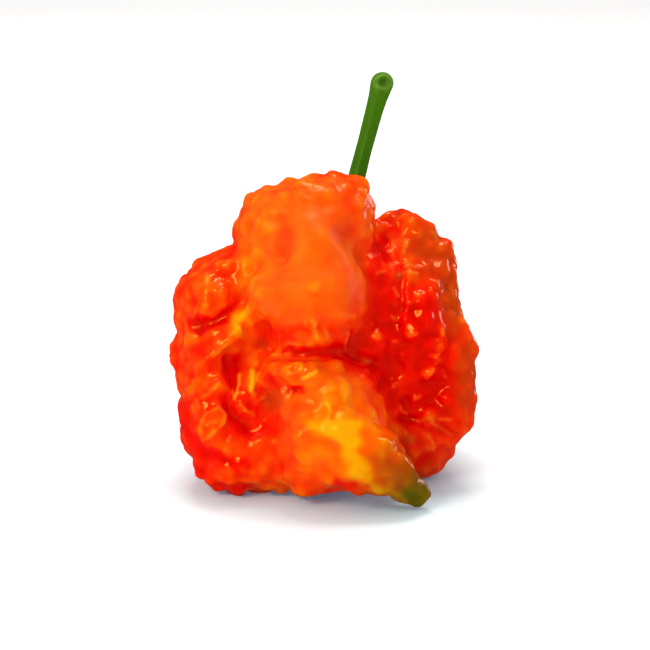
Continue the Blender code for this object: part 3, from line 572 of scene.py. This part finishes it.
# Colours. Ripeness runs from 0, deep red, to 1, amber. Soft layers lie one over another on the front:
# ripeness, softness of the edge, half sizes (or one for both), and the line of points it follows.
skin = {
    "ramp": ((0.0, (0.66, 0.0, 0.0)), (0.14, (0.82, 0.0006, 0.0003)), (0.30, (0.89, 0.011, 0.0006)),
             (0.45, (0.93, 0.040, 0.0008)), (0.58, (0.95, 0.078, 0.001)), (0.70, (0.96, 0.130, 0.001)),
             (0.85, (0.96, 0.24, 0.001)), (1.0, (0.95, 0.39, 0.001))),
    "olive": ((0.085, 0.080, 0.002), (0.20, 0.125, 0.004)),
    "oliveMottling": (0.35, 3.0),
    "leafGreen": {"colour": (0.045, 0.075, 0.002), "place": (13.0, -25.5), "reach": 1.3, "strength": 0.8},
    "tan": (0.52, 0.050, 0.003),
    # the brown is kept off the pimple tops, which keeps them lighter, part of the painted light on them
    "tanOffPimples": (1.05, 1.6),
    # a painted highlight on the crests, a paler tone broken up by the mottling: colour, reach in crest
    # widths, mottling
    "paintedCrestHighlight": {"colour": (0.03, 0.09, 0.008), "reach": (0.0, 1.0), "mottling": (0.30, 2.5)},
    "paintFront": ((-0.25, 0.15), (-9.0, -3.0)),
    "backRipeness": 0.38,
    # drift of the ripeness, and how far and how finely the layers' edges wander
    "drift": 0.50,
    "wander": ((0.11, (0, 0, 0)), (0.5, (9, 0, 4)), (0.5, (0, 21, 8))),
    "edgeWander": 0.9,
    # painted shade and light: hollows are painted redder as shade, and pimple tops riper, partly the skin's
    # own mottling and partly painted light, less so on the hood
    "shadedHollows": {"depth": 0.35, "smoothing": 40, "redderInShade": 0.26, "lessInFront": 0.10},
    "pimples": {"riperAndLit": 0.36, "ripeness": (0.05, 0.40)},
    "hoodCalm": 0.6,
    # the tail turns olive along its heading
    "tail": {"start": (5.5, -20), "heading": (0.8, -0.6), "lead": 0.5, "length": 10.5,
             "depth": (6.0, 9.0), "below": (12, 16)},
    # satin instead of shine: the hood fully, the belly and the creases in part
    "satinBelly": ((0.5, -14.0), (8.0, 7.0), (0.7, 1.2)),
    "satinShare": 0.35,
    "scales": {"Mottle Scale": 330.0, "Grain Scale": 1700.0},
    "mottling": 0.30,
    "flecks": 0.05,
    "roughness": {"least": 0.10, "mottled": 0.14, "satin": 0.32},
    "bump": (0.35, 0.0002),
    "bumpOffSatin": 0.7,
    "shader": {"Specular IOR Level": 0.34, "Specular Tint": (1.0, 0.55, 0.06), "Subsurface Weight": 0.25,
               "Subsurface Radius": (1.0, 0.25, 0.05), "Subsurface Scale": 0.0016},
    # some layers are painted shade in creases and hollows, and some are painted highlights; each such group
    # is marked below
    "layers": (
        # sides
        (0.45, 0.3, (9, 16.8), (-16.5, -3)), (0.3, 0.3, (8.7, 17.7), (13, -2.2)),
        (0.36, 0.5, (6, 4.5), (16.5, -20.2)),
        # deep red on the right: partly the skin's own deep red, partly painted shade in the right side's
        # hollow, its pockets and the fold under the hood
        (0.07, 0.3, (6.5, 6.9), (11.5, -1.5)), (0.08, 0.3, (6.5, 5.7), (15.8, -10.5)),
        (0.07, 0.4, 2.4, ((3.8, -3), (7.5, -5.2), (11.2, -7.5))), (0.14, 0.6, (1.3, 1.9), (8.7, 1.8)),
        (0.14, 0.6, (1.3, 3.9), (10.9, -12.4)), (0.03, 0.3, (1.9, 2.2), (7.9, 11.4)),
        (0.06, 0.4, (1.6, 1.2), (7.9, 6.9)), (0.12, 0.5, (0.8, 1.3), (10.2, 14.5)),
        (0.15, 0.6, (0.6, 1.2), (11.5, 7.3)),
        # crest and rim
        (0.5, 0.6, (2.7, 2.1), (13, 14.5)), (0.43, 0.6, (2.1, 1.8), (16.6, 11.2)),
        (0.5, 0.7, 0.6, ((9.9, 13.3), (10.2, 9.4))), (0.52, 0.7, 0.8, ((11.8, 13.3), (12.3, 9.4), (13.9, 6))),
        # painted highlights: the lighter spots on the right side's red, on this line and the next four; the
        # inner rim's beads among them are partly their own orange
        (0.58, 0.8, 0.9, (12.8, 8.2)), (0.55, 0.8, 0.8, (13.9, 4.5)), (0.5, 0.8, 0.9, (7.5, -1.5)),
        (0.5, 0.8, (0.8, 0.6), (13, -1.6)), (0.35, 0.8, 0.6, (10.7, -2.5)),
        (0.5, 0.8, (0.8, 0.6), (10.2, -9)), (0.52, 0.8, (1.2, 0.9), (15.8, -14.2)),
        (0.6, 0.8, (0.6, 0.9), (17.4, -0.9)), (0.52, 0.8, (0.6, 0.8), (16.9, -2.9)),
        (0.55, 0.8, (0.8, 0.5), (16.8, -4.8)), (0.55, 0.8, (0.8, 0.6), (15.6, -7.2)),
        (0.46, 0.8, 1.1, ((18.8, 9.4), (19.3, 3.8), (20.2, 0))),
        (0.34, 0.8, 1.1, ((21.1, -2.2), (22.3, -5.2), (22.8, -9), (22.1, -13.5), (20.6, -17.2),
                (17.2, -20.6))), (0.1, 0.6, (1.3, 1.9), (19.9, -11.5)), (0.24, 0.6, (0.9, 1.2), (19.5, -4.3)),
        # hood
        (0.64, 0.1, (10.9, 7.9), (-2.9, 15.3)), (0.66, 0.1, (8.8, 7.6), (-2.4, 9)),
        (0.61, 0.2, (9.3, 6), (-2.9, 3.4)), (0.46, 0.6, (1.1, 3.3), (5.5, 11.5)),
        (0.44, 0.6, (1.2, 2.4), (5, 3)), (0.66, 0.7, (2.4, 4.2), (-9.4, 15.4)),
        (0.53, 0.6, (2.4, 4.2), (3.4, 16.9)), (0.62, 0.6, (6.8, 2.7), (-3.4, 6.8)),
        (0.58, 0.6, (1.9, 1.8), (3.1, 7.3)), (0.5, 0.7, (6.6, 1.9), (-1.5, 0.8)),
        (0.4, 0.8, 0.6, ((-8.5, -1.1), (-5.2, -0.4), (-1.1, -0.8))), (0.52, 0.6, (3.3, 1.1), (-2.5, -2.2)),
        # painted shade: the hood's two pits, at (-6.1, 12.8) and (3.3, 13.9), are painted redder
        (0.4, 0.6, (1.5, 1.8), (1.8, -1.6)), (0.44, 0.8, (1.3, 2.2), (-6.1, 12.8)),
        (0.46, 0.8, (1.3, 1.1), (3.3, 13.9)), (0.78, 0.6, (3, 2.1), (-11.2, 8.8)), (0.68, 0.6, 1.8, (-12, 6)),
        # painted highlights: the small riper spots on the hood, on this line and the next
        (0.85, 0.8, (1.1, 0.8), (-1.5, 5.7)), (0.68, 0.8, 0.9, (5.5, 14.2)), (0.82, 0.8, 0.8, (-9, 14.5)),
        (0.85, 0.8, 0.8, (-9.9, 10.8)),
        # left side
        (0.54, 0.7, (2.1, 3.3), (-18, 5)), (0.4, 0.7, (0.6, 2.1), (-19.8, 5)),
        # painted shade: the left dimple is painted deep red, on this line and the next
        (0.02, 0.3, 1.2, ((-19.2, -0.1), (-16.6, 0.4), (-14.8, 1.5))),
        (0.12, 0.5, 0.6, ((-14.8, 1.5), (-12.6, 3.4))), (0.6, 0.8, (1.1, 0.8), (-20.2, -1.8)),
        (0.4, 0.8, (1.8, 1.1), (-17.6, -3.3)),
        (0.66, 0.7, 1.2, ((-9.4, 7.5), (-11.2, 5), (-12.8, 1.5), (-14.2, -3), (-15.4, -5))),
        (1, 0.7, (1.1, 1.5), (-12.9, 0.6)), (0.95, 0.7, (0.8, 0.9), (-11.7, -0.1)),
        (0.78, 0.6, (1.2, 2.7), (-11.7, -2.1)), (0.44, 0.6, (1.1, 1.5), (-9.8, -2.7)),
        (0.24, 0.6, (1.3, 1.1), (-8.5, -1.5)), (0.4, 0.7, (1.5, 1.2), (-6.5, -1.9)),
        # painted shade: the thin deep red lines on this line and the next follow a crease
        (0.26, 0.7, (3, 3.8), (-12, -13.5)), (0.07, 0.5, 1.1, ((-14.2, -5.2), (-13.7, -7.9), (-13.3, -10))),
        (0.1, 0.6, 0.9, ((-15.4, -11.2), (-14.2, -13.5), (-12.4, -15.4))),
        (0.86, 0.7, 0.8, ((-10.8, -5), (-10.8, -10))), (0.5, 0.7, 2.1, (-18.3, -9.4)),
        # painted highlights: the thin riper strokes and small spots on this line and the next four
        (0.72, 0.8, 0.4, ((-18.3, -10.9), (-17.2, -10), (-16.1, -8.8))),
        (0.72, 0.8, (0.6, 0.9), (-17.6, 6.6)), (0.72, 0.8, 0.4, ((-15.3, -3.1), (-14.4, -2.1))),
        (0.68, 0.7, (0.9, 1.2), (-13.5, 5.8)),
        (0.74, 0.8, 0.3, ((-12.8, -7.6), (-12.8, -9.2), (-13.3, -10.8))),
        (0.7, 0.8, 0.3, ((-12.3, -12.3), (-10.8, -13.5))), (0.66, 0.8, 0.3, ((-16.9, -4.8), (-15.8, -3.9))),
        (0.55, 0.7, (1.8, 1.9), (-17.6, -15.4)),
        (0.1, 0.6, 1.2, ((-21.8, -12.4), (-20.6, -16.1), (-18.4, -19.1), (-15.4, -20.6), (-12.2, -21.1))),
        (0.4, 0.7, (3.6, 1.2), (-15.4, -22.6)), (0.1, 0.5, (1.9, 0.6), (-13, -24.3)),
        # brow and belly
        (0.56, 0.3, (6.3, 2.7), (-1.9, -7.2)), (0.62, 0.2, (9.4, 8.5), (-0.4, -16.5)),
        (0.53, 0.7, 2.1, (4, -8.2)), (0.72, 0.7, (3.3, 3), (1.9, -10.9)), (0.56, 0.7, 2.7, (-3.8, -15)),
        (0.72, 0.6, (3, 2.1), (-1.9, -19.6)), (0.5, 0.7, 1.2, ((-3.8, -23.6), (-1.1, -23.8))),
        (0.46, 0.6, 3.3, (-7.3, -20.2)), (0.98, 0.7, 1.5, ((-1.1, -15), (4, -15.3))),
        (1, 0.7, 1.5, ((3.1, -15.9), (3.9, -19.1), (5.8, -22.3))), (0.72, 0.7, (2.4, 2.7), (8.2, -17.2)),
        (0.78, 0.7, (1.8, 1.2), (3, -11.8)), (0.75, 0.7, (1.1, 1.5), (7.5, -14.2)),
        (0.26, 0.6, 0.6, ((1.9, -23.8), (4, -24.3))),
        (0.56, 0.7, 0.9, ((5.5, -8.8), (7.6, -10.9), (8.8, -13.7), (10.3, -16.9))),
        (0.88, 0.7, 0.6, ((7, -24.3), (10, -25.3), (11.8, -26.2))), (0.3, 0.7, (1.8, 2.7), (-8.2, -15)),
        # painted shade: the recess under the brow's left end and the deep red lines along the creases under
        # the brow and under the hood, on this line and the next
        (0.3, 0.5, (1.9, 2.2), (-8.1, -10.7)), (0.08, 0.7, 0.7, ((-8.5, -7.9), (-6.5, -9.4), (-4.3, -10))),
        (0.08, 0.6, 0.6, ((-6, -3.9), (-3.8, -3.9), (-1.1, -4))),
        # painted highlights: the pale riper strokes on the lip, the brow and the belly, on this line and the
        # next four
        (0.72, 0.9, 0.5, ((-1.9, 0.8), (-1.5, -0.8), (-1.1, -2.1))),
        (0.62, 0.9, 0.4, ((0, -0.4), (0.4, -1.9))),
        (0.74, 0.9, 0.4, ((-5.4, -6.5), (-4.3, -6), (-3.3, -6.1), (-3.8, -6.9))),
        (0.74, 0.9, 0.4, ((-3.3, -7.9), (-1.3, -7))),
        (0.8, 0.9, 0.3, ((0.6, -12), (0.9, -12.9), (0.6, -13.9))),
        # painted shade: the deep red lines in the fold between the hood and the brow, on this line and the
        # next
        (0.15, 0.6, 0.9, ((-1.1, -4), (2.2, -4.3))), (0.13, 0.5, 1.5, ((1.9, -3.8), (5.2, -5.2))),
        (0.06, 0.5, 1.8, ((6.5, -6.1), (9, -8.2))),
    ),
    # brownish places, the same way: partly the skin's own brown tones, partly painted shade in the hood's two
    # pits and the recesses at the left
    "tanLayers": (
        (0.6, 0.6, (0.9, 1.3), (-9.6, -2.7)), (0.8, 0.7, (1.5, 1.9), (-7.9, -11.2)),
        (0.75, 0.6, (3.6, 4.2), (15.8, 11.2)), (0.35, 0.7, (2.4, 1.2), (11.5, 16.2)),
        (0.25, 0.8, 1.2, ((21.4, -12.8), (19.9, -17.2), (17.2, -20.6))), (0.85, 0.6, (1.8, 5.4), (19.1, 4.3)),
        (0.7, 0.6, (1.6, 6), (21.3, -7.5)), (0.15, 0.6, (3, 3.3), (18.1, -15.8)),
        (0.3, 0.8, (1.2, 2.2), (-6.1, 12.3)), (0.12, 0.8, (1.5, 1.2), (3.3, 13.7)),
        (0.6, 0.6, 0.6, (11.1, 7.3)), (0.6, 0.6, (0.8, 0.6), (12.9, -16.9)),
        (0.5, 0.7, 1.3, ((7.9, -20.6), (10.3, -22.3))), (0.35, 0.7, (1.2, 1.5), (-12.3, 5)),
    ),
}


def layOver(values, across, upBy, seen, layers):
    for value, soft, halves, line in layers:
        halfAcross, halfUp = halves if isinstance(halves, tuple) else (halves, halves)
        squeeze = halfAcross / halfUp
        away = lineDistance(across, upBy * squeeze, np.atleast_2d(line) * (1, squeeze)) / halfAcross
        values += (value - values) * (1 - smoothStep(1 - soft, 1 + soft, away)) * seen
    return values


def paintPod(mesh):
    places, outward = placesOf(mesh), outwardOf(mesh)
    shadedHollows, pimples, tail, leaf = skin["shadedHollows"], skin["pimples"], skin["tail"], skin["leafGreen"]
    smoothing = ("SMOOTH", {"factor": 0.5, "iterations": shadedHollows["smoothing"]})
    calm = placesOf(withModifiers(mesh.copy(), smoothing))
    hollow = np.clip(np.einsum("ij,ij->i", calm - places, outward) / shadedHollows["depth"], -1, 1)
    across, upBy, nearer = asSeen(places)
    seen = frontShare(outward @ np.array(eyeAxes()[2]), nearer, skin["paintFront"])
    drift, wanderAcross, wanderUp = (noiseOver(places, *wander) for wander in skin["wander"])
    across, upBy = across + skin["edgeWander"] * wanderAcross, upBy + skin["edgeWander"] * wanderUp
    ripe = layOver(skin["backRipeness"] + skin["drift"] * drift, across, upBy, seen, skin["layers"])
    hood = hoodShare(across, upBy, nearer)
    pimple = readAttribute(mesh, "pimple")
    # painted shade: hollows are painted redder; pimple tops are painted riper, partly as painted light
    redderInShade = (shadedHollows["redderInShade"] - shadedHollows["lessInFront"] * seen) * hollow
    riperAndLit = pimples["riperAndLit"] * pimple * smoothStep(*pimples["ripeness"], ripe)
    ripe += (1 - skin["hoodCalm"] * hood) * (riperAndLit - redderInShade)
    most, fall = skin["tanOffPimples"]
    tan = layOver(np.zeros(len(places)), across, upBy, seen, skin["tanLayers"])
    tan *= np.clip(most - fall * pimple, 0, 1)
    (right, up), (headAcross, headUp) = tail["start"], tail["heading"]
    alongTail = headAcross * (across - right) + headUp * (upBy - up)
    olive = (np.clip((alongTail + tail["lead"]) / tail["length"], 0, 1)
             * smoothStep(*tail["depth"], nearer) * smoothStep(*tail["below"], -upBy))
    belly = skin["satinShare"] * ovalShare(across, upBy, skin["satinBelly"]) * seen
    creases = skin["satinShare"] * creaseShare(across, upBy) * seen
    leafAway = np.hypot(across - leaf["place"][0], upBy - leaf["place"][1]) / leaf["reach"]
    setAttributes(mesh, satin=np.maximum(np.maximum(hood, belly), creases), ripeness=np.clip(ripe, 0, 1),
                  hollow=hollow, tan=tan, olive=olive, leaf=leaf["strength"] * np.exp(-leafAway ** 2) * seen)


# Shader group: soft mottling and a fine uneven surface, for everything that has grown
grownSurface = {"mottle": (3.0, 0.55), "grain": (2.0, 0.5), "slowGrain": 0.35, "speckPitch": 0.7,
                "speckSize": 0.26, "speckEdge": 5.0, "grainHeight": 0.35}


def grownSurfaceGroup():
    group = bpy.data.node_groups.new("grownSurface", "ShaderNodeTree")
    for name, value in (("Mottle Scale", 260.0), ("Grain Scale", 1500.0), ("Stretch", 1.0)):
        socket = group.interface.new_socket(name, in_out="INPUT", socket_type="NodeSocketFloat")
        socket.default_value = value
    for name in ("Mottle", "Specks", "Height"):
        group.interface.new_socket(name, in_out="OUTPUT", socket_type="NodeSocketFloat")
    given = addNode(group, "NodeGroupInput").outputs
    where = addNode(group, "ShaderNodeTexCoord").outputs["Object"]
    squeeze = addNode(group, "ShaderNodeCombineXYZ", {"X": 1.0, "Y": 1.0, "Z": given["Stretch"]}).outputs[0]
    mapped = addNode(group, "ShaderNodeMapping", {"Vector": where, "Scale": squeeze}).outputs[0]

    def noiseWith(scale, detail, roughness):
        inputs = {"Vector": mapped, "Scale": scale, "Detail": detail, "Roughness": roughness}
        return addNode(group, "ShaderNodeTexNoise", inputs).outputs["Fac"]

    fine = given["Grain Scale"]
    grain = mathNode(group, "MULTIPLY", noiseWith(fine, *grownSurface["grain"]), grownSurface["grainHeight"])
    slow = noiseWith(mathNode(group, "MULTIPLY", fine, grownSurface["slowGrain"]), *grownSurface["grain"])
    cellScale = mathNode(group, "MULTIPLY", fine, grownSurface["speckPitch"])
    cells = addNode(group, "ShaderNodeTexVoronoi", {"Vector": mapped, "Scale": cellScale})
    specks = mathNode(group, "SUBTRACT", grownSurface["speckSize"], cells.outputs["Distance"])
    addNode(group, "NodeGroupOutput", {
        "Mottle": noiseWith(given["Mottle Scale"], *grownSurface["mottle"]),
        "Specks": mathNode(group, "MULTIPLY", specks, grownSurface["speckEdge"], clamp=True),
        "Height": mathNode(group, "ADD", grain, slow)})
    return group


def startMaterial(name, surfaceGroup, scales):
    material = bpy.data.materials.new(name)
    material.use_nodes = True
    tree = material.node_tree
    return material, tree, addNode(tree, "ShaderNodeGroup", scales, node_tree=surfaceGroup).outputs


def attributeOf(tree, name):
    return addNode(tree, "ShaderNodeAttribute", attribute_name=name).outputs["Fac"]


def finishShader(tree, colour, roughness, height, piece):
    strength, distance = piece["bump"]
    bump = addNode(tree, "ShaderNodeBump", {"Strength": strength, "Distance": distance, "Height": height})
    inputs = {"Base Color": colour, "Roughness": roughness, "Normal": bump.outputs[0], **piece["shader"]}
    for key, value in inputs.items():
        feed(tree, value, tree.nodes["Principled BSDF"].inputs[key])


def podSkinMaterial(surfaceGroup):
    material, tree, surface = startMaterial("podSkin", surfaceGroup, skin["scales"])
    mottle, paintedCrestHighlight, roughness = surface["Mottle"], skin["paintedCrestHighlight"], skin["roughness"]
    wander = spreadNode(tree, mottle, noiseMiddle, skin["mottling"])
    flecks = mathNode(tree, "MULTIPLY", surface["Specks"], skin["flecks"])
    ripe = mathNode(tree, "ADD", attributeOf(tree, "ripeness"), wander)
    ripe = mathNode(tree, "ADD", ripe, flecks, clamp=True)
    ramp = addNode(tree, "ShaderNodeValToRGB", {"Fac": ripe})
    stops = ramp.color_ramp.elements
    for index, (at, colour) in enumerate(skin["ramp"]):
        stop = stops[index] if index < 2 else stops.new(at)
        stop.position = at
        stop.color = (*colour, 1)
    colour = mixColour(tree, attributeOf(tree, "tan"), ramp.outputs["Color"], skin["tan"])
    # painted highlight: a paler tone added along the crests
    onCrest = addNode(tree, "ShaderNodeMapRange", {
        "Value": attributeOf(tree, "crestAway"), "From Min": paintedCrestHighlight["reach"][0], "From Max": paintedCrestHighlight["reach"][1],
        "To Min": 1.0, "To Max": 0.0}, interpolation_type="SMOOTHSTEP")
    crestHighlightShare = spreadNode(tree, mottle, *paintedCrestHighlight["mottling"], clamp=True)
    crestHighlightShare = mathNode(tree, "MULTIPLY", crestHighlightShare, onCrest.outputs[0])
    colour = mixColour(tree, crestHighlightShare, colour, paintedCrestHighlight["colour"], blend="ADD")
    patchy = spreadNode(tree, mottle, *skin["oliveMottling"], clamp=True)
    colour = mixColour(tree, attributeOf(tree, "olive"), colour, mixColour(tree, patchy, *skin["olive"]))
    colour = mixColour(tree, attributeOf(tree, "leaf"), colour, skin["leafGreen"]["colour"])
    satin = attributeOf(tree, "satin")
    uneven = mathNode(tree, "MULTIPLY", mottle, roughness["mottled"])
    gloss = mathNode(tree, "ADD", mathNode(tree, "ADD", uneven, roughness["least"]),
                     mathNode(tree, "MULTIPLY", satin, roughness["satin"]))
    rough = mathNode(tree, "SUBTRACT", 1.0, mathNode(tree, "MULTIPLY", satin, skin["bumpOffSatin"]))
    finishShader(tree, colour, gloss, mathNode(tree, "MULTIPLY", surface["Height"], rough), skin)
    return material


def stemMaterial(surfaceGroup):
    material, tree, surface = startMaterial("stemGreen", surfaceGroup, stem["scales"])
    least, mottled = stem["roughness"]
    light = mathNode(tree, "ADD", attributeOf(tree, "along"),
                     spreadNode(tree, surface["Mottle"], noiseMiddle, stem["mottling"]), clamp=True)
    colour = mixColour(tree, light, *stem["greens"])
    # the scar's lip: its own paler colour and a painted highlight; its floor: painted shade
    colour = mixColour(tree, attributeOf(tree, "scar"), colour, stem["scarLipAndHighlightColour"])
    colour = mixColour(tree, attributeOf(tree, "hollow"), colour, stem["scarFloorShadeColour"])
    roughness = mathNode(tree, "ADD", mathNode(tree, "MULTIPLY", surface["Mottle"], mottled), least)
    finishShader(tree, colour, roughness, surface["Height"], stem)
    return material


def addPiece(name, mesh, node):
    mesh.polygons.foreach_set("use_smooth", [True] * len(mesh.polygons))
    mesh.name = name
    obj = linked(name, mesh)
    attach(obj, "root")
    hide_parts(node)
    print(name, "has", sum(len(face.vertices) - 2 for face in mesh.polygons), "triangles")


# how strong the pimples and wrinkles stand at each place
def fineShare(places):
    across, upBy, nearer = asSeen(places)
    fine = pod["fine"]
    calm = np.maximum(
        fine["hoodCalm"] * hoodShare(across, upBy, nearer),
        fine["bellyCalm"] * ovalShare(across, upBy, fine["belly"]) * smoothStep(*fine["bellyDepth"], nearer))
    creases = creaseShare(across, upBy) * smoothStep(*pod["creaseDepth"], nearer)
    most, less = fine["patchCalm"]
    patches = most - less * smoothStep(*fine["patchEdge"], noiseOver(places, fine["patchPitch"]))
    quiet = np.maximum(creases, (1 - smoothStep(*fine["patchDepth"], nearer)) * patches)
    foot = np.linalg.norm(places - np.array(stemPlace(0)), axis=1)
    return ((1 - calm) * (1 - quiet) * smoothStep(*fine["foot"], places[:, 2])
            * smoothStep(*fine["byStem"], foot))


def buildPod(tree, material):
    first, last = pod["skinSmoothing"]
    mesh = remeshed(fusedFolds(), pod["skinVoxel"], first)
    print("the pod's folds are joined")
    soften(mesh)
    places, outward = placesOf(mesh), outwardOf(mesh)
    height = frontRelief(places, outward @ np.array(eyeAxes()[2])) + skinRelief(places)
    setPlaces(mesh, places + outward * height[:, None])
    seatCalyx(mesh)
    mesh = remeshed(mesh, pod["skinVoxel"], last)
    raiseCrests(mesh)
    setAttributes(mesh, relief=fineShare(placesOf(mesh)))
    mesh.transform(intoMetres)
    mesh = withRelief(mesh, tree, {**pod["fineRelief"], "Material": material})
    mesh.transform(intoMetres.inverted())
    # the pod rests on flat spots
    places = placesOf(mesh)
    places[places[:, 2] < pod["footDepth"], 2] = 0
    setPlaces(mesh, places)
    print("the pod's skin has its relief")
    paintPod(mesh)
    mesh.transform(intoMetres)
    return mesh


def buildStem(tree, material):
    profile = (*stem["underside"], *stem["calyx"], *stem["sides"], (0.0, stem["end"]))
    bm = bmesh.new()
    corners = [bm.verts.new((radius, 0, height)) for radius, height in profile]
    for start, end in zip(corners[:-1], corners[1:]):
        bm.edges.new((start, end))
    mesh = withModifiers(asMesh(bm),
                         ("SCREW", {"steps": stem["segments"], "render_steps": stem["segments"],
                                    "use_merge_vertices": True, "merge_threshold": 0.0001,
                                    "use_normal_calculate": True}),
                         ("SUBSURF", {"levels": 1, "render_levels": 1}))
    (across, upwards, towards), scar = eyeAxes(), stem["scar"]
    scarPlace = stemPlace(scar["share"]) + towards * scar["out"]
    (lipAt, lipWidth), (floorDepth, floorWidth) = scar["lip"], scar["floor"]
    heights, scars = [], []
    for vertex in mesh.vertices:
        radius, turn = math.hypot(vertex.co.x, vertex.co.y), math.atan2(vertex.co.y, vertex.co.x)
        calyx = smoothStep(*stem["calyxRing"], radius)
        rib = math.cos(stem["points"] * turn + stem["ribTurn"]) * smoothStep(*stem["ribStart"], vertex.co.z)
        radius *= (1 + stem["pointShare"] * math.cos(stem["points"] * turn) * calyx
                   + stem["ribShare"] * rib * (1 - calyx))
        height = vertex.co.z + stem["gap"] - pod["calyxSeat"]["droop"] * radius ** 2
        share = min(height / stem["end"], 1.0)
        along = stemDirection(share if share > stem["straightShare"] else 0)
        centre = stemPlace(max(share, 0)) + along * (height - max(share, 0) * stem["end"])
        outward = Vector((radius * math.cos(turn), radius * math.sin(turn), 0))
        spot = centre + along.to_track_quat("Z", "Y") @ outward
        offset = spot - scarPlace
        away = math.hypot(offset.dot(across) / scar["reach"][0], offset.dot(upwards) / scar["reach"][1])
        away = math.hypot(away, offset.dot(towards))
        vertex.co = spot - towards * scar["depth"] * math.exp(-away ** 2)
        heights.append(height / stem["end"])
        scars.append(math.exp(-((away - lipAt) / lipWidth) ** 2)
                     - floorDepth * math.exp(-(away / floorWidth) ** 2))
    heights, scars, paling = np.array(heights), np.array(scars), stem["paling"]
    setAttributes(mesh, relief=stem["fineShare"] * smoothStep(*stem["fineStart"], heights),
                  along=smoothStep(*paling["between"], heights) * paling["more"] + paling["least"],
                  scar=np.clip(scars, 0, 1) * scar["strength"], hollow=np.clip(-scars, 0, 1))
    mesh.transform(intoMetres)
    return withRelief(mesh, tree, {**stem["fineRelief"], "Material": material})


surfaceGroup = grownSurfaceGroup()
relief = reliefTree()
addPiece("podSkinSurface", buildPod(relief, podSkinMaterial(surfaceGroup)), "pod")
addPiece("stemWithCalyx", buildStem(relief, stemMaterial(surfaceGroup)), "stem_and_calyx")

studio = {
    # the sky as it lights the skin, and the warmer surroundings that the gloss shows
    "sky": (0.62, 0.62, 0.62),
    "skyInGloss": (0.34, 0.08, 0.03),
    # near the pod the floor's colour makes up for the red light that falls on it, and a painted bluish glow
    # there lightens the pod's shadow; the rest of the floor glows evenly
    "floor": {"size": 2.4, "reach": (0.016, 0.036),
              "colour": (0.96, 0.96, 0.96), "nearPod": (0.74, 0.96, 0.96),
              "glow": (0.10, 0.10, 0.10), "shadowLiftingGlow": (0.0, 0.07, 0.12),
              "shader": {"Emission Strength": 1.0, "Roughness": 0.9, "Specular IOR Level": 0.1}},
    # where, size across and up, watts, what it adds (body light or shine), colour
    "lights": {
        "overhead": ((-0.02, 0.17, 0.50), (0.24, 0.24), 1.8, "body", (1, 1, 1)),
        "frontKey": ((-0.30, -0.42, 0.34), (0.20, 0.20), 1.3, "body", (1.0, 0.90, 0.80)),
        "frontShine": ((-0.26, -0.38, 0.40), (0.16, 0.22), 4.0, "shine", (1.0, 0.66, 0.75)),
        "rightShine": ((0.30, 0.28, 0.06), (0.16, 0.10), 0.24, "shine", (1.0, 0.72, 0.70)),
        "topShine": ((0.10, 0.16, 0.55), (0.14, 0.14), 1.5, "shine", (1.0, 0.66, 0.60)),
    },
    # the picture's width at the pod, in millimetres: 650 pixels of 0.15
    "camera": {"sensor": 36, "pictureWidth": 97.5, "nearest": 0.01},
}


def addSky():
    world = bpy.data.worlds.new("studioWorld")
    bpy.context.scene.world = world
    world.use_nodes = True
    tree = world.node_tree
    rays = addNode(tree, "ShaderNodeLightPath")
    seenAs = mixColour(tree, rays.outputs["Is Glossy Ray"], studio["sky"], studio["skyInGloss"])
    tree.links.new(seenAs, tree.nodes["Background"].inputs["Color"])


def addLights(aim):
    for name, (place, size, watts, adds, colour) in studio["lights"].items():
        light = bpy.data.lights.new(name, "AREA")
        light.shape = "RECTANGLE"
        light.size, light.size_y = size
        light.energy = watts
        light.color = colour
        obj = linked(name, light)
        obj.location = place
        obj.visible_glossy = adds == "shine"
        obj.visible_diffuse = adds == "body"
        obj.rotation_mode = "QUATERNION"
        obj.rotation_quaternion = (aim - Vector(place)).to_track_quat("-Z", "Y")


def addFloor():
    settings = studio["floor"]
    half = settings["size"] / 2
    mesh = bpy.data.meshes.new("floor")
    corners = [(-half, -half, 0), (half, -half, 0), (half, half, 0), (-half, half, 0)]
    mesh.from_pydata(corners, [], [(0, 1, 2, 3)])
    floor = linked("floor", mesh)
    material = bpy.data.materials.new("paleFloor")
    material.use_nodes = True
    tree = material.node_tree
    where = addNode(tree, "ShaderNodeTexCoord").outputs["Object"]
    away = addNode(tree, "ShaderNodeVectorMath", {0: where}, operation="LENGTH").outputs["Value"]
    near, far = settings["reach"]
    spread = addNode(tree, "ShaderNodeMapRange", {"Value": away, "From Min": near, "From Max": far},
                     interpolation_type="SMOOTHSTEP").outputs[0]
    # near the pod: a tint against the red light, and a painted glow that lightens the shadow
    inputs = {"Base Color": mixColour(tree, spread, settings["nearPod"], settings["colour"]),
              "Emission Color": mixColour(tree, spread, settings["shadowLiftingGlow"], settings["glow"]),
              **settings["shader"]}
    for key, value in inputs.items():
        feed(tree, value, tree.nodes["Principled BSDF"].inputs[key])
    mesh.materials.append(material)
    floor.visible_glossy = False


def addCamera(aim):
    settings, towards = studio["camera"], eyeAxes()[2]
    camera = bpy.data.cameras.new("camera")
    viewer = linked("camera", camera)
    viewer.location = aim + towards * eye["distance"] * millimetre
    viewer.rotation_mode = "QUATERNION"
    viewer.rotation_quaternion = (-towards).to_track_quat("-Z", "Y")
    camera.sensor_width = settings["sensor"]
    camera.lens = settings["sensor"] * eye["distance"] / settings["pictureWidth"]
    camera.clip_start = settings["nearest"]
    bpy.context.scene.camera = viewer
    bpy.context.scene.view_settings.view_transform = "Standard"


podMiddle = Vector((*eye["centring"], eye["planeHeight"])) * millimetre
addSky()
addLights(podMiddle)
addFloor()
addCamera(podMiddle)
print("studio ready")
